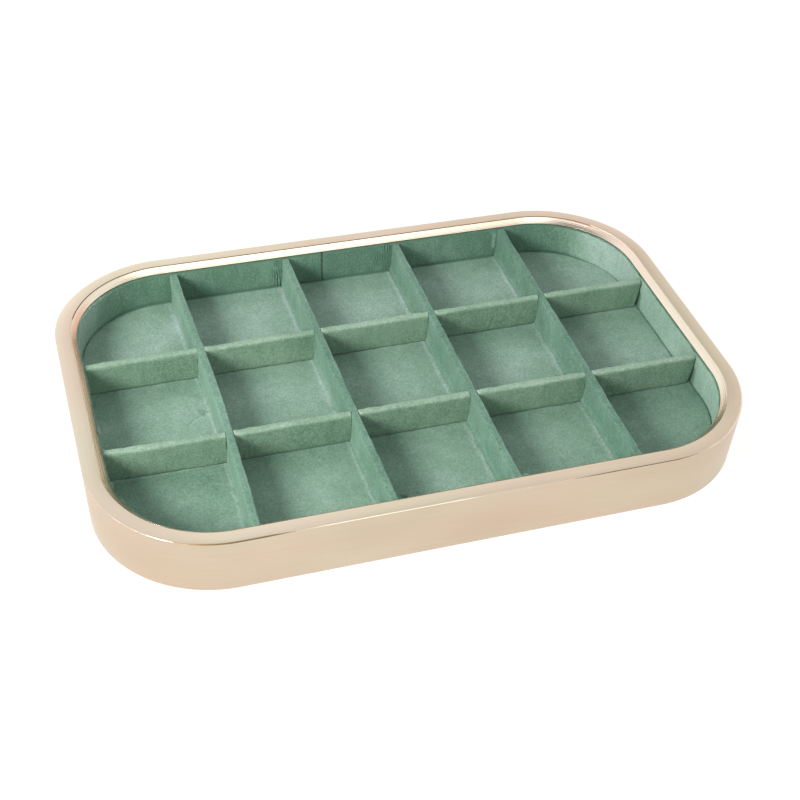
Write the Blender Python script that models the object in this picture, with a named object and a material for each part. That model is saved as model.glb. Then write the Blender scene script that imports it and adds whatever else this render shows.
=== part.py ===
"""Open jewelry display tray.

A bent metal frame goes round a board tray that is lined with suede. Suede-covered card dividers cross in
halved slots and make the compartments: the columns run front to back and sit over the rows. Metres, +Z up,
X along the tray. The origin is under the middle of the tray, on the surface that it rests on.
"""

import math

import bmesh
import bpy
from mathutils import Vector
from mathutils.geometry import intersect_line_line_2d

MM = 0.001

# Outside of the tray
LENGTH = 300 * MM
WIDTH = 200 * MM
HEIGHT = 28 * MM
CORNER_RADIUS = 55 * MM

# Metal frame: flat rim, chamfer down to the inner lip, outer wall that leans in towards its foot
RIM_WIDTH = 7 * MM
CHAMFER_RUN = 2.5 * MM
CHAMFER_DROP = 2.6 * MM
LIP_EDGE = 0.3 * MM
OUTER_BEVEL = 0.5 * MM
WALL_THICKNESS = 1.5 * MM
WALL_LEAN = 1.0 * MM

# Boards and sheets
BACKING_THICKNESS = 0.8 * MM
BASE_THICKNESS = 5.0 * MM
FLOOR_CARD_THICKNESS = 1.1 * MM
WALL_CARD_THICKNESS = 1.5 * MM
SUEDE_THICKNESS = 0.5 * MM
SUEDE_ROUND = 0.3 * MM
FIT_GAP = 0.3 * MM

# Wall lining: it stands a little inside the metal lip, folds over its card, and meets itself in a seam
LINING_STEP = 0.6 * MM
FOLD_DEPTH = 6.0 * MM
SEAM_WIDTH = 0.6 * MM
SEAM_OFFSET = 12.0 * MM

# Dividers
DIVIDER_THICKNESS = 3.5 * MM
DIVIDER_DROP = 0.5 * MM
DIVIDER_ROUND = 1.1 * MM
ROW_GAP_LEFT = 0.3 * MM
ROW_GAP_RIGHT = 0.9 * MM
COLUMN_END_GAP = 0.4 * MM

# The dividers stand a little off the even grid. Each pair is how far one divider's two ends are off it,
# as shares of the pitch: left and right ends of the rows, front and back ends of the columns.
ROW_DRIFT_SHARES = ((-0.016, -0.014), (-0.032, 0.008))
COLUMN_DRIFT_SHARES = ((-0.015, -0.023), (0.020, -0.044), (-0.007, -0.015), (-0.012, 0.009))

# Modelling
ARC_STEPS = 20
ROUND_STEPS = 3
SMOOTH_ANGLE = math.radians(30)
WELD_DISTANCE = 0.001 * MM
CUT_OVERRUN = 2.0 * MM

# Levels above the surface that the tray rests on
BASE_LOW = BACKING_THICKNESS + FIT_GAP
BASE_TOP = BASE_LOW + BASE_THICKNESS
INNER_LOW = BASE_TOP + FIT_GAP
FLOOR_CARD_TOP = INNER_LOW + FLOOR_CARD_THICKNESS
FLOOR_TOP = FLOOR_CARD_TOP + FIT_GAP + SUEDE_THICKNESS
CHAMFER_FOOT = HEIGHT - CHAMFER_DROP
RIM_UNDERSIDE = CHAMFER_FOOT - LIP_EDGE
LINING_TOP = RIM_UNDERSIDE - FIT_GAP
WALL_CARD_TOP = LINING_TOP - SUEDE_THICKNESS - FIT_GAP
DIVIDER_LOW = FLOOR_TOP + FIT_GAP
DIVIDER_TOP = LINING_TOP - DIVIDER_DROP
SLOT_LEVEL = (DIVIDER_LOW + DIVIDER_TOP) / 2

# Insets from the outside of the tray
SKIN = SUEDE_THICKNESS + FIT_GAP
BOARD_INSET = WALL_LEAN + WALL_THICKNESS + FIT_GAP
LIP_INSET = RIM_WIDTH + CHAMFER_RUN
LINING_INSET = LIP_INSET + LINING_STEP
WALL_CARD_INSET = LINING_INSET - SKIN
WALL_CARD_BACK = WALL_CARD_INSET - WALL_CARD_THICKNESS
FOLD_INSET = WALL_CARD_BACK - SKIN
CORE_INSET = FOLD_INSET - FIT_GAP
FLOOR_INSET = LINING_INSET + FIT_GAP
FLOOR_CARD_INSET = FLOOR_INSET + SKIN

# The space inside the lining, and the pitches that share it out evenly
INSIDE_LENGTH = LENGTH - 2 * LINING_INSET
INSIDE_WIDTH = WIDTH - 2 * LINING_INSET
ROW_COUNT = len(ROW_DRIFT_SHARES)
COLUMN_COUNT = len(COLUMN_DRIFT_SHARES)
ROW_PITCH = (INSIDE_WIDTH + DIVIDER_THICKNESS) / (ROW_COUNT + 1)
COLUMN_PITCH = (INSIDE_LENGTH + DIVIDER_THICKNESS) / (COLUMN_COUNT + 1)


def make_collection(name):
    collection = bpy.data.collections.new(name)
    bpy.context.scene.collection.children.link(collection)
    return collection


def make_material(name, colour, roughness, metallic):
    material = bpy.data.materials.new(name)
    material.use_nodes = True
    shader = material.node_tree.nodes["Principled BSDF"]
    shader.inputs["Base Color"].default_value = (*colour, 1.0)
    shader.inputs["Roughness"].default_value = roughness
    shader.inputs["Metallic"].default_value = metallic
    return material


for leftover in list(bpy.data.objects):
    bpy.data.objects.remove(leftover)

PARTS = make_collection("jewelry_display_tray")
CUTTERS = make_collection("cutters")
METAL = make_material("champagne_metal", (0.72, 0.61, 0.47), 0.35, 1.0)
SUEDE = make_material("sage_suede", (0.17, 0.30, 0.23), 0.95, 0.0)
CARD = make_material("grey_card", (0.42, 0.40, 0.36), 0.90, 0.0)
FIBREBOARD = make_material("fibreboard", (0.38, 0.25, 0.14), 0.85, 0.0)


def add_part(name, mesh, material):
    """Puts a mesh in the tray's collection as a named sub-part, smooth across its gentle edges."""
    mesh.materials.clear()
    mesh.materials.append(material)
    mesh.shade_smooth()
    mesh.set_sharp_from_angle(angle=SMOOTH_ANGLE)
    part = bpy.data.objects.new(name, mesh)
    PARTS.objects.link(part)
    return part


def add_guide(name, data):
    """Puts a cutter or a section in the cutters collection, where it isn't part of the tray."""
    guide = bpy.data.objects.new(name, data)
    guide.hide_render = True
    guide.display_type = "WIRE"
    CUTTERS.objects.link(guide)
    return guide


def cut(part, cutter):
    modifier = part.modifiers.new(cutter.name, "BOOLEAN")
    modifier.operation = "DIFFERENCE"
    modifier.object = cutter


def rounded_outline(inset):
    """Points of the tray's outline moved inwards by inset, anticlockwise from the right-hand side."""
    radius = CORNER_RADIUS - inset
    reach_x = LENGTH / 2 - CORNER_RADIUS
    reach_y = WIDTH / 2 - CORNER_RADIUS
    centres = ((reach_x, reach_y), (-reach_x, reach_y), (-reach_x, -reach_y), (reach_x, -reach_y))
    points = []
    for quarter, (centre_x, centre_y) in enumerate(centres):
        for step in range(ARC_STEPS + 1):
            angle = math.pi / 2 * (quarter + step / ARC_STEPS)
            points.append((centre_x + radius * math.cos(angle), centre_y + radius * math.sin(angle)))
    return points


def closed_curve(name, outlines):
    """A flat curve with one closed spline of straight segments for each outline."""
    curve = bpy.data.curves.new(name, "CURVE")
    curve.dimensions = "2D"
    for points in outlines:
        spline = curve.splines.new("POLY")
        spline.points.add(len(points) - 1)
        for target, (x, y) in zip(spline.points, points):
            target.co = (x, y, 0, 1)
        spline.use_cyclic_u = True
    return curve


def curve_mesh(curve, level):
    """The mesh of a curve lifted to a level, with its caps welded on. The curve is used up."""
    holder = add_guide(curve.name, curve)
    depsgraph = bpy.context.evaluated_depsgraph_get()
    mesh = bpy.data.meshes.new_from_object(holder.evaluated_get(depsgraph))
    bpy.data.objects.remove(holder)
    shell = bmesh.new()
    shell.from_mesh(mesh)
    bmesh.ops.remove_doubles(shell, verts=shell.verts, dist=WELD_DISTANCE)
    bmesh.ops.recalc_face_normals(shell, faces=shell.faces)
    bmesh.ops.translate(shell, vec=(0, 0, level), verts=shell.verts)
    shell.to_mesh(mesh)
    shell.free()
    return mesh


def sheet_mesh(name, insets, low, high):
    """A flat sheet in the tray's outline between two levels. One inset gives a plate, two give a ring."""
    curve = closed_curve(name, [rounded_outline(inset) for inset in insets])
    curve.fill_mode = "BOTH"
    curve.extrude = (high - low) / 2
    return curve_mesh(curve, (low + high) / 2)


def swept_mesh(name, section):
    """A section of (inset, level) corners carried once round the tray."""
    profile = closed_curve(name + "_section", [section])
    guide = add_guide(profile.name, profile)
    path = closed_curve(name, [rounded_outline(0)])
    path.fill_mode = "NONE"
    path.bevel_mode = "OBJECT"
    path.bevel_object = guide
    return curve_mesh(path, 0)


def block_mesh(name, length, width, low, high):
    """A box centred on its origin in X and Y, between two levels."""
    block = bmesh.new()
    bmesh.ops.create_cube(block, size=1)
    bmesh.ops.scale(block, vec=(length, width, high - low), verts=block.verts)
    bmesh.ops.translate(block, vec=(0, 0, (low + high) / 2), verts=block.verts)
    mesh = bpy.data.meshes.new(name)
    block.to_mesh(mesh)
    block.free()
    return mesh


def round_top(mesh, radius):
    """Rounds the sharp edges at the top of a mesh."""
    shell = bmesh.new()
    shell.from_mesh(mesh)
    top = max(vertex.co.z for vertex in shell.verts) - WELD_DISTANCE
    edges = [
        edge
        for edge in shell.edges
        if min(vertex.co.z for vertex in edge.verts) > top and edge.calc_face_angle() > SMOOTH_ANGLE
    ]
    bmesh.ops.bevel(shell, geom=edges, offset=radius, segments=ROUND_STEPS, profile=0.5, affect="EDGES")
    shell.to_mesh(mesh)
    shell.free()
    return mesh


class Line:
    """The line that a divider stands on, from one end to the other, seen from above."""

    def __init__(self, start, end):
        self.start = Vector(start)
        self.end = Vector(end)
        run = self.end - self.start
        self.length = run.length
        self.middle = (self.start + self.end) / 2
        self.angle = math.atan2(run.y, run.x)

    def place(self, part, spot):
        """Turns a part along the line and puts it at a spot on the line."""
        part.location = (spot.x, spot.y, 0)
        part.rotation_euler.z = self.angle
        return part

    def crossing(self, other):
        return intersect_line_line_2d(self.start, self.end, other.start, other.end)


def row_lines():
    """Lines of the rows, front to back. The grid is pushed to the left, so the right-hand gap is wider."""
    left = -INSIDE_LENGTH / 2 + ROW_GAP_LEFT
    right = INSIDE_LENGTH / 2 - ROW_GAP_RIGHT
    lines = []
    for index, (left_drift, right_drift) in enumerate(ROW_DRIFT_SHARES):
        even = index + 1 - (ROW_COUNT + 1) / 2
        start = (left, (even + left_drift) * ROW_PITCH)
        end = (right, (even + right_drift) * ROW_PITCH)
        lines.append(Line(start, end))
    return lines


def column_lines():
    """Lines of the columns, left to right."""
    reach = INSIDE_WIDTH / 2 - COLUMN_END_GAP
    lines = []
    for index, (front_drift, back_drift) in enumerate(COLUMN_DRIFT_SHARES):
        even = index + 1 - (COLUMN_COUNT + 1) / 2
        start = ((even + front_drift) * COLUMN_PITCH, -reach)
        end = ((even + back_drift) * COLUMN_PITCH, reach)
        lines.append(Line(start, end))
    return lines


def slot_cutters(name, line, others, low, high):
    """Boxes between two levels, one where each other divider crosses the line, each a fit gap clear of it."""
    length = DIVIDER_THICKNESS + 2 * CUT_OVERRUN
    width = DIVIDER_THICKNESS + 2 * FIT_GAP
    cutters = []
    for place, other in enumerate(others, 1):
        mesh = block_mesh(f"{name}_{place}", length, width, low, high)
        cutters.append(other.place(add_guide(mesh.name, mesh), line.crossing(other)))
    return cutters


def make_divider(kind, number, line, slots):
    """A card core in a suede pocket that is open at the bottom, with the same slots through both."""
    core_length = line.length - 2 * SKIN
    core_width = DIVIDER_THICKNESS - 2 * SKIN
    core_top = DIVIDER_TOP - SKIN
    mesh = block_mesh(f"{kind}_core_{number}", core_length, core_width, DIVIDER_LOW, core_top)
    core = line.place(add_part(mesh.name, mesh, CARD), line.middle)

    mesh = block_mesh(f"{kind}_wrap_{number}", line.length, DIVIDER_THICKNESS, DIVIDER_LOW, DIVIDER_TOP)
    wrap = line.place(add_part(mesh.name, round_top(mesh, DIVIDER_ROUND), SUEDE), line.middle)

    pocket_length = core_length + 2 * FIT_GAP
    pocket_width = core_width + 2 * FIT_GAP
    pocket_low = DIVIDER_LOW - CUT_OVERRUN
    mesh = block_mesh(f"{kind}_pocket_{number}", pocket_length, pocket_width, pocket_low, core_top + FIT_GAP)
    cut(wrap, line.place(add_guide(mesh.name, mesh), line.middle))
    for slot in slots:
        cut(core, slot)
        cut(wrap, slot)


def make_dividers():
    """Rows slotted from the top and columns slotted from below, so that the columns sit over the rows."""
    rows = row_lines()
    columns = column_lines()
    for number, row in enumerate(rows, 1):
        slots = slot_cutters(f"row_slot_{number}", row, columns, SLOT_LEVEL, DIVIDER_TOP + CUT_OVERRUN)
        make_divider("row", number, row, slots)
    for number, column in enumerate(columns, 1):
        low = DIVIDER_LOW - CUT_OVERRUN
        slots = slot_cutters(f"column_slot_{number}", column, rows, low, SLOT_LEVEL + FIT_GAP)
        make_divider("column", number, column, slots)


def make_metal_frame():
    """One bent section: leaning outer wall, small bevel, flat rim, and a solid lip under the chamfer."""
    section = (
        (WALL_LEAN, 0),
        (0, HEIGHT - OUTER_BEVEL),
        (OUTER_BEVEL, HEIGHT),
        (RIM_WIDTH, HEIGHT),
        (LIP_INSET, CHAMFER_FOOT),
        (LIP_INSET, RIM_UNDERSIDE),
        (WALL_THICKNESS, RIM_UNDERSIDE),
        (WALL_LEAN + WALL_THICKNESS, 0),
    )
    add_part("metal_frame", swept_mesh("metal_frame", section), METAL)


def make_boards():
    """Backing sheet and base board, and the ring on the base board that backs the wall lining."""
    ring_top = RIM_UNDERSIDE - FIT_GAP
    add_part("backing_sheet", sheet_mesh("backing_sheet", [BOARD_INSET], 0, BACKING_THICKNESS), SUEDE)
    add_part("base_board", sheet_mesh("base_board", [BOARD_INSET], BASE_LOW, BASE_TOP), FIBREBOARD)
    ring = sheet_mesh("frame_core", [BOARD_INSET, CORE_INSET], INNER_LOW, ring_top)
    add_part("frame_core", ring, FIBREBOARD)


def make_floor():
    """A floor card under a shallow cap of suede, whose edge is folded down round the card."""
    card = sheet_mesh("floor_card", [FLOOR_CARD_INSET], INNER_LOW, FLOOR_CARD_TOP)
    add_part("floor_card", card, CARD)
    cap = round_top(sheet_mesh("floor_lining", [FLOOR_INSET], INNER_LOW, FLOOR_TOP), SUEDE_ROUND)
    lining = add_part("floor_lining", cap, SUEDE)
    pocket_inset = FLOOR_CARD_INSET - FIT_GAP
    pocket = sheet_mesh("floor_pocket", [pocket_inset], INNER_LOW - CUT_OVERRUN, FLOOR_CARD_TOP + FIT_GAP)
    cut(lining, add_guide("floor_pocket", pocket))


def make_wall_lining():
    """A card strip bent round the inside wall, with suede over its face, its top and down behind it."""
    inner_face = LINING_INSET - SUEDE_THICKNESS
    fold_face = FOLD_INSET + SUEDE_THICKNESS
    fold_foot = LINING_TOP - FOLD_DEPTH
    section = (
        (LINING_INSET, INNER_LOW),
        (LINING_INSET, LINING_TOP - SUEDE_ROUND),
        (LINING_INSET - SUEDE_ROUND, LINING_TOP),
        (FOLD_INSET + SUEDE_ROUND, LINING_TOP),
        (FOLD_INSET, LINING_TOP - SUEDE_ROUND),
        (FOLD_INSET, fold_foot),
        (fold_face, fold_foot),
        (fold_face, LINING_TOP - SUEDE_THICKNESS),
        (inner_face, LINING_TOP - SUEDE_THICKNESS),
        (inner_face, INNER_LOW),
    )
    lining = add_part("wall_lining", swept_mesh("wall_lining", section), SUEDE)
    strip = sheet_mesh("wall_card", [WALL_CARD_BACK, WALL_CARD_INSET], INNER_LOW, WALL_CARD_TOP)
    card = add_part("wall_card", strip, CARD)

    depth = LINING_INSET - FOLD_INSET + 2 * CUT_OVERRUN
    seam = block_mesh("wall_seam", SEAM_WIDTH, depth, INNER_LOW - CUT_OVERRUN, LINING_TOP + CUT_OVERRUN)
    cutter = add_guide("wall_seam", seam)
    cutter.location = (-SEAM_OFFSET, WIDTH / 2 - (LINING_INSET + FOLD_INSET) / 2, 0)
    cut(lining, cutter)
    cut(card, cutter)


make_metal_frame()
make_boards()
make_floor()
make_wall_lining()
make_dividers()
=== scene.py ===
"""Open jewelry display tray: a brushed metal frame, a suede lining and lift-out suede dividers.

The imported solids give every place. This script lays the fine surfaces over them: the frame's bevels and
brushing, the suede skins with their seams, slots and raw edges, and the short pile that stands out of them.
"""

import math

import bmesh
import bpy
import numpy as np
from bpy.props import FloatProperty, FloatVectorProperty, IntProperty, PointerProperty
from mathutils import Matrix, Vector


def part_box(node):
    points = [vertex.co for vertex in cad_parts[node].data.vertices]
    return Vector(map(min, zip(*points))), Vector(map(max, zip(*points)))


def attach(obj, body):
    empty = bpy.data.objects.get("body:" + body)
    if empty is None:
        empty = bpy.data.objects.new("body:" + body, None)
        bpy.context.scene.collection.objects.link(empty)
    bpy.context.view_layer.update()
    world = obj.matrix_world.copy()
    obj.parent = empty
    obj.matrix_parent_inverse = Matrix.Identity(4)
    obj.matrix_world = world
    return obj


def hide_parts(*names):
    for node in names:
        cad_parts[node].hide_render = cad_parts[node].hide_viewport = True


bl_info = {
    "name": "Jewelry Display Tray",
    "version": (1, 0, 0),
    "blender": (4, 5, 0),
    "location": "View3D > Sidebar > Tray",
    "description": "Makes the brushed metal and suede surfaces of an open display tray",
    "category": "Object",
}

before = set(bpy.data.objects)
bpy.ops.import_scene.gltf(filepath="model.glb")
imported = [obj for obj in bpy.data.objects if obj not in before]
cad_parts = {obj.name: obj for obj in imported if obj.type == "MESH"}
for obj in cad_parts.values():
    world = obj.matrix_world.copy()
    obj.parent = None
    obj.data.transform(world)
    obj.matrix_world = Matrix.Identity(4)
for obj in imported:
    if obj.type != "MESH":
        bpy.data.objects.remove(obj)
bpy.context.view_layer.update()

MM = 0.001

# Lengths that differ by less than the first are equal, and points closer than the second are merged
TOLERANCE = 1e-9
MERGE_DISTANCE = 0.002 * MM

SHARP_ANGLE = math.radians(50)
METAL_SLOT = "champagne_metal"
SUEDE_SLOT = "sage_suede"
CARD_SLOT = "grey_card"
TRAY = "tray"
ROWS = "row_dividers"
COLUMN = "column_divider_"
CARD_NODES = ("floor_card", "wall_card", "column_core_2", "column_core_3", "column_core_4")
BOARD_NODES = ("frame_core", "base_board")

# Copies of the metal for the frame's faces, in the order of its materials: SATIN; BRIGHT, smoother and paled
# to paint the cove's bright reflection and glints; DIMMED, darkened to paint shade on upright faces;
# SHADED_EDGE, darker to paint shade lines in the groove and along the lip; DARK, darkest to paint dark
# reflection lines on the front edge
SATIN, BRIGHT, DIMMED, SHADED_EDGE, DARK = range(5)

# Stretches of the front outer edge with painted glints and painted dark reflection lines: from and to along x
# in millimetres, the material, and share of the bevel cut
EDGE_REFLECTIONS = (
    (-144, -138.8, BRIGHT, 0.5),
    (-138.8, -131, DIMMED, 0.0),
    (-131, -121, SATIN, 0.12),
    (-121, -72, DARK, 1.0),
    (-68, 10, BRIGHT, 0.42),
    (50, 108, DARK, 0.45),
    (113, 121, BRIGHT, 0.3),
)

# Creases of the back wall's lining: place along x, half width and depth, in millimetres
CREASES = ((17, 4.5, 0.16), (23.5, 2, 0.34), (-34.6, 2.2, 0.36))

# Tufts of loose fibres on the lining's top edge and on the floor, in millimetres
EDGE_TUFTS = (
    (-135.3, -61.4), (-132.5, -66.9), (-139.7, -17.2), (-140.2, -30.8), (-139.3, -51.2), (30.2, -89.9),
)
FLOOR_TUFTS = ((-17.5, -73.4), (-91.1, 2.8))

# How much of the named flare each column has at its foot
FLARE_SHARES = (0.4, 0.9, 1.6, 1.0)

# Marks per metre along each axis, on suede whose marks run upwards
UPRIGHT_GRAIN = (260.0, 260.0, 110.0)


def length(name, description, millimetres):
    """A size in metres that a user may change, given in millimetres."""
    return FloatProperty(
        name=name, description=description, default=millimetres * MM, min=0.0, precision=5, unit="LENGTH"
    )


def colour(name, description, red, green, blue):
    """A linear colour that a user may change."""
    return FloatVectorProperty(
        name=name, description=description, default=(red, green, blue), min=0.0, max=1.0, subtype="COLOR"
    )


class TraySizes(bpy.types.PropertyGroup):
    """Sizes of the tray's visible surfaces."""

    corner_radius: length("Corner radius", "Radius of the frame's round corners, outside", 55)
    rim_width: length("Rim width", "Width of the frame's flat rim", 7)
    cove_run: length("Cove run", "How far the cove inside the rim reaches inwards", 2.5)
    cove_drop: length("Cove drop", "How far the cove inside the rim goes down", 2.6)
    cove_depth: length("Cove depth", "How far the cove is hollowed", 0.08)
    cove_fill: length("Cove fill", "How much of that is filled and rounded out along the left side", 0.09)
    cove_wave: length("Cove wave", "Height of the polishing lines along the cove", 0.012)
    groove: length("Groove", "Width of the fine groove between the rim and the cove", 0.30)
    lip_edge: length("Lip edge", "Height of the frame's inner edge under the cove", 0.3)
    outer_edge: length("Outer edge", "Width of the soft outer top edge where it is crisp", 0.06)
    outer_bevel: length("Outer bevel", "Width of the cut along the outer top edge where it shows", 0.45)
    back_bevel: length("Back bevel", "The same cut along the back, where it is worn wider", 1.4)
    wall_lean: length("Wall lean", "How far the outer wall leans in at its foot", 1.0)
    wall_thickness: length("Wall thickness", "Thickness of the frame's outer wall", 1.5)
    lining_inset: length("Lining inset", "From the outside of the frame to the lining's face", 10.1)
    fold_inset: length("Fold inset", "From the outside of the frame to the back of the lining's fold", 7.0)
    fold_depth: length("Fold depth", "How far the lining is folded down behind its card", 6.0)
    suede: length("Suede", "Thickness of the suede", 0.5)
    seam_width: length("Seam width", "Gap of the butt seam in the back wall", 0.48)
    seam_offset: length("Seam offset", "How far left of the middle the seam is", 11.3)
    floor_inset: length("Floor inset", "From the outside of the frame to the floor lining's edge", 10.4)
    floor_show: length("Floor level", "How far the floor lining stands above the wall lining's foot", 1.9)
    backing_inset: length("Backing inset", "From the outside of the frame to the backing sheet's edge", 2.8)
    divider_thickness: length("Divider thickness", "Thickness of the covered dividers", 3.5)
    row_round: length("Row rounding", "Radius of the rows' soft top edges", 1.4)
    end_round: length("End rounding", "Radius of the dividers' upright end edges", 0.8)
    row_reach: length("Row reach", "How far the top of a row's right end leans towards the wall", 0.55)
    column_round: length("Column rounding", "Radius of the columns' soft top edges", 0.7)
    foot_flare: length("Foot flare", "How far a column's skin stands out at the foot of its left side", 0.8)
    slot_gap: length("Slot gap", "Clearance on each side of a divider in its slot", 0.3)
    bow: length("Bow", "How far the first column is bent out of line", 1.1)
    row_bow: length("Row bow", "How far the front row's left end is bent back", 1.2)
    step: length("Step", "Distance between the stations of a surface", 1.5)


class TrayFinish(bpy.types.PropertyGroup):
    """Colours and finishes of the tray."""

    metal: colour("Metal", "Champagne metal of the frame", 0.80, 0.665, 0.505)
    # The dark and light ends of the suede also carry the surfaces' painted shade and painted light
    suede_dark: colour("Suede, dark", "Suede where the nap lies away from the light", 0.075, 0.155, 0.105)
    suede_middle: colour("Suede, middle", "Suede in general", 0.202, 0.318, 0.241)
    suede_light: colour("Suede, light", "Suede where the nap stands or is rubbed", 0.41, 0.505, 0.49)
    card: colour("Card", "Dark grey card inside the dividers and the lining", 0.12, 0.13, 0.12)
    board: colour("Board", "Fibreboard of the base and the ring", 0.38, 0.25, 0.14)
    floor: colour("Floor", "Pale floor that the tray stands on", 0.12, 0.12, 0.12)
    metal_roughness: FloatProperty(
        name="Metal roughness", description="Roughness of the satin metal", default=0.42, min=0.0, max=1.0
    )
    pile_share: FloatProperty(
        name="Pile", description="Share of the full number of loose fibres",
        default=1.0, min=0.0, max=1.0, subtype="FACTOR",
    )
    seed: IntProperty(name="Seed", description="Start of the seeded unevenness", default=7, min=0)


def ripple(points, wavelength, seed):
    """Smooth unevenness of about one unit: the sum of sixteen plane waves, whose directions and phases are
    seeded and whose lengths lie round the wavelength, divided by the root of half their number."""
    source = np.random.default_rng(seed)
    waves = 16
    heading = source.normal(size=(waves, 3))
    heading /= np.linalg.norm(heading, axis=1)[:, None]
    pitch = wavelength * source.uniform(0.65, 1.5, waves)
    phase = source.uniform(0, math.tau, waves)
    turns = points @ (heading / pitch[:, None]).T * math.tau + phase
    return np.sin(turns).sum(-1) / math.sqrt(waves / 2)


def bell(distance, width):
    """A bell curve: one at distance nought, and about a third at one width."""
    return np.exp(-((distance / width) ** 2))


def smooth_step(value, low, high):
    """Nought below low, one above high, and three squares less two cubes of the share between."""
    share = np.clip((value - low) / (high - low), 0, 1)
    return share * share * (3 - 2 * share)


def near_spot(points, spot, width):
    """A bell round a place that is given in millimetres."""
    return bell(np.linalg.norm(points[..., :2] - np.array(spot) * MM, axis=-1), width)


def quarter_fall(away, radius):
    """How far a quarter circle has fallen from its top at a distance from its edge: the radius less the
    circle's height there, and nought from one radius on."""
    return radius - np.sqrt(np.maximum(radius**2 - np.maximum(radius - away, 0) ** 2, 0))


def outside_line(run, sizes):
    """Points and outward directions of the frame's outside at distances run along it. The line starts in the
    middle of the back and goes anticlockwise: a half side, then a quarter circle and a side in turn."""
    low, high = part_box("metal_frame")
    half = np.array([(high.x - low.x) / 2, (high.y - low.y) / 2])
    centre = np.array([(high.x + low.x) / 2, (high.y + low.y) / 2])
    radius = sizes.corner_radius
    reach = half - radius
    quarter = radius * math.pi / 2
    sides = np.array([reach[0], 2 * reach[1], 2 * reach[0], 2 * reach[1], reach[0]])
    starts = np.concatenate([[0], np.cumsum(sides + quarter)])[:5]
    run = np.mod(run, sides.sum() + 4 * quarter)
    side = np.clip(np.searchsorted(starts, run, side="right") - 1, 0, 4)
    along = run - starts[side]
    turned = np.clip(along - sides[side], 0, None) / radius
    straight = np.minimum(along, sides[side])
    angle = math.pi / 2 * (side + 1) + turned
    outward = np.stack([np.cos(angle), np.sin(angle)], -1)
    corner = np.array([[1, 1], [-1, 1], [-1, -1], [1, -1], [1, 1]])[side] * reach
    heading = math.pi / 2 * (side + 1)
    forward = np.stack([-np.sin(heading), np.cos(heading)], -1)
    back_middle = np.array([0.0, reach[1]])
    begin = np.where((side == 0)[:, None], back_middle, corner)
    return centre + begin + forward * straight[:, None] + radius * outward, outward


def outside_length(sizes):
    """Length of the frame's outside line: four sides and the four quarter circles."""
    low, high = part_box("metal_frame")
    radius = sizes.corner_radius
    return 2 * (high.x - low.x - 2 * radius) + 2 * (high.y - low.y - 2 * radius) + math.tau * radius


def fillet(corners, steps):
    """Corners (across, up, radius) of a closed profile, each with a radius rounded by a circle that touches
    both its sides: its points turn from one side's normal to the other's in equal steps."""
    points = []
    count = len(corners)
    for index, (across, up, radius) in enumerate(corners):
        here = np.array([across, up])
        if radius <= 0:
            points.append(here)
            continue
        before = here - np.array(corners[index - 1][:2])
        after = np.array(corners[(index + 1) % count][:2]) - here
        before /= np.linalg.norm(before)
        after /= np.linalg.norm(after)
        turn = math.atan2(before[0] * after[1] - before[1] * after[0], before @ after)
        side = math.copysign(1, turn)
        leftward = np.array([-before[1], before[0]])
        middle = here - before * radius * math.tan(abs(turn) / 2) + side * radius * leftward
        first = math.atan2(-side * before[0], side * before[1])
        for share in np.linspace(0, 1, steps + 1):
            angle = first + turn * share
            points.append(middle + radius * np.array([math.cos(angle), math.sin(angle)]))
    return np.array(points)


def run_along(points):
    """Distance travelled along a line of points, from nought."""
    steps = np.linalg.norm(np.diff(points, axis=0), axis=1)
    return np.concatenate([[0], np.cumsum(steps)])


def refine(points, step):
    """The same line with stations at most a step apart, each old point kept."""
    parts = []
    for start, end in zip(points[:-1], points[1:]):
        count = max(1, math.ceil(np.linalg.norm(end - start) / step))
        parts.append(start + (end - start) * np.linspace(0, 1, count, endpoint=False)[:, None])
    return np.concatenate([*parts, points[-1:]])


def carried(profile, place, outward):
    """A profile of (inset, level) points carried along a line: the line's point less the inset times the
    outward direction, at the profile's level. The first axis is the line, the second the profile, and the
    profile may be another one at each place."""
    points = np.empty((len(place), profile.shape[-2], 3))
    points[..., :2] = place[:, None] - profile[..., :1] * outward[:, None]
    points[..., 2] = profile[..., 1]
    return points


def skin(name, points, uv=None, nap_and_painted_light=None, round_u=False, round_v=False, keep=None):
    """An object whose surface is a grid of points. Each face joins a point to its next neighbours on both
    axes, and faces the cross product of the first axis and the second. keep says which faces there are."""
    rows, columns = points.shape[:2]
    first, second = np.meshgrid(
        np.arange(rows - (not round_u)), np.arange(columns - (not round_v)), indexing="ij"
    )
    chosen = np.ones(first.shape, bool) if keep is None else keep
    first, second = first[chosen], second[chosen]
    corner_u = np.stack([first, first + 1, first + 1, first], -1)
    corner_v = np.stack([second, second, second + 1, second + 1], -1)
    index = corner_u % rows * columns + corner_v % columns
    used, faces = np.unique(index, return_inverse=True)
    mesh = bpy.data.meshes.new(name)
    mesh.from_pydata(points.reshape(-1, 3)[used].tolist(), [], faces.reshape(-1, 4).tolist())
    if uv is not None:
        layer = mesh.uv_layers.new(name="surface")
        layer.uv.foreach_set("vector", uv[corner_u, corner_v].astype(np.float32).ravel())
    # A value per point that the materials read: the lie of the pile with painted light and shade, or on the
    # frame a painted reflection tint
    if nap_and_painted_light is not None:
        attribute = mesh.attributes.new("nap_and_painted_light", "FLOAT", "POINT")
        attribute.data.foreach_set("value", nap_and_painted_light.reshape(-1)[used].astype(np.float32))
    return place_object(name, mesh)


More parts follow.
